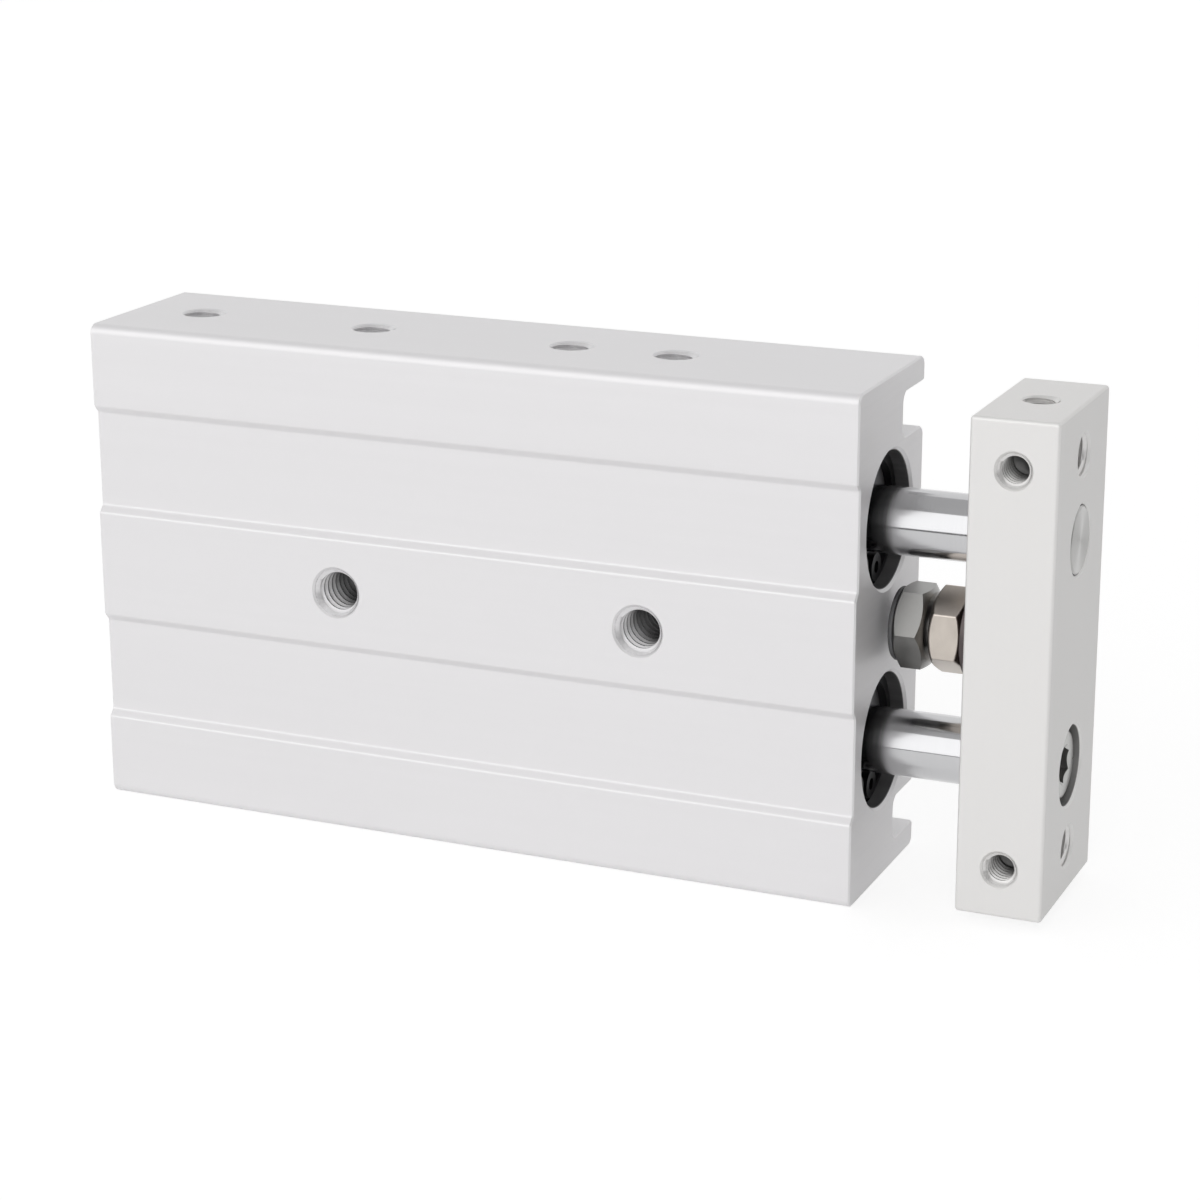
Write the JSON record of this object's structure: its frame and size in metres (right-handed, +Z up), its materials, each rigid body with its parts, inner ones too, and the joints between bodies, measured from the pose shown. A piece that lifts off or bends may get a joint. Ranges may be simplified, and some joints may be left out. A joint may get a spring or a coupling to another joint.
{
  "type": "guided pneumatic cylinder",
  "caption": "Compact guided pneumatic cylinder: parallel rods in one slim aluminium housing push an end plate that cannot turn, with an adjustable rubber stop.",
  "frame": {"origin": "centre of the housing's lower narrow face", "axes": "+X along the rods from the housing towards the end plate, +Y towards the wide face with the sensor grooves, +Z up from the lower narrow face to the one with the open ports"},
  "size_m": [0.1241, 0.0236, 0.062],
  "materials": {
    "housing": "satin silver anodised",
    "plate": "satin silver anodised",
    "cover": "dark anodised",
    "rod": "ground and hard chromed",
    "black_steel": "blackened spring steel",
    "dark_steel": "dark zinc plated",
    "nickel_steel": "nickel plated",
    "bright_steel": "bright zinc plated",
    "rubber": "black nitrile rubber",
    "urethane": "polyurethane",
    "bronze": "sintered bronze",
    "piston": "machined",
    "magnet": "sintered magnet",
    "resin": "acetal resin"
  },
  "bodies": {
    "housing_assembly": {"housing": "housing", "head_cover_upper": "cover", "head_cover_lower": "cover", "rod_cover_upper": "cover", "rod_cover_lower": "cover", "seal_retainers": "cover", "rear_retaining_rings": "black_steel", "front_retaining_rings": "black_steel", "head_cover_o_rings": "rubber", "rod_cover_o_rings": "rubber", "rod_seals": "rubber", "rear_cushions": "urethane", "rod_bushings": "bronze", "port_plugs": "bright_steel"},
    "carriage": {"piston_rod_upper": "rod", "piston_rod_lower": "rod", "piston_upper": "piston", "piston_lower": "piston", "piston_seals": "rubber", "sensor_magnet": "magnet", "wear_ring": "resin", "piston_nuts": "bright_steel", "front_cushions": "urethane", "end_plate": "plate", "plate_cap_screw": "bright_steel", "plate_set_screw": "black_steel", "bumper_bolt": "dark_steel", "bumper_pad": "rubber", "lock_nut": "nickel_steel", "lock_washer": "dark_steel"}
  },
  "joints": [
    {"name": "rod_slide", "type": "slide", "parent": "housing_assembly", "child": "carriage", "axis": [1, 0, 0], "range_m": [-0.0013, 0.0337]}
  ]
}
